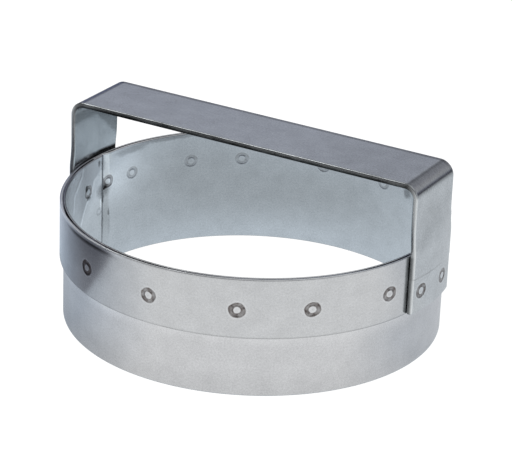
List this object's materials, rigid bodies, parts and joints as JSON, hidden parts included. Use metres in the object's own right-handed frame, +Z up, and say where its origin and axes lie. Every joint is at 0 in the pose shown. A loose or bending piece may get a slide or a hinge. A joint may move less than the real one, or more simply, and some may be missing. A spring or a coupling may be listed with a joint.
{
  "type": "biscuit cutter",
  "caption": "Round sheet-metal biscuit cutter: a thin open cutting ring with a stiffening band round its upper half and a flat strap handle, joined by spot welds.",
  "frame": {"origin": "centre of the cutting ring, on the plane of its cutting edge", "axes": "+Z up from the cutting edge to the handle's bar, +X along the bar, +Y across it"},
  "size_m": [0.0936, 0.0908, 0.0458],
  "materials": {
    "ring_steel": "bright cold-rolled sheet with a faint rolled grain",
    "band_steel": "bright cold-rolled sheet with a faint rolled grain",
    "strap_steel": "satin strip with smoothed edges",
    "weld_metal": "dull fused metal with a brown heat tint"
  },
  "bodies": {
    "root": {"cutting_ring": "ring_steel", "outer_band": "band_steel", "handle": "strap_steel", "band_welds": "weld_metal", "handle_welds": "weld_metal"}
  },
  "joints": []
}
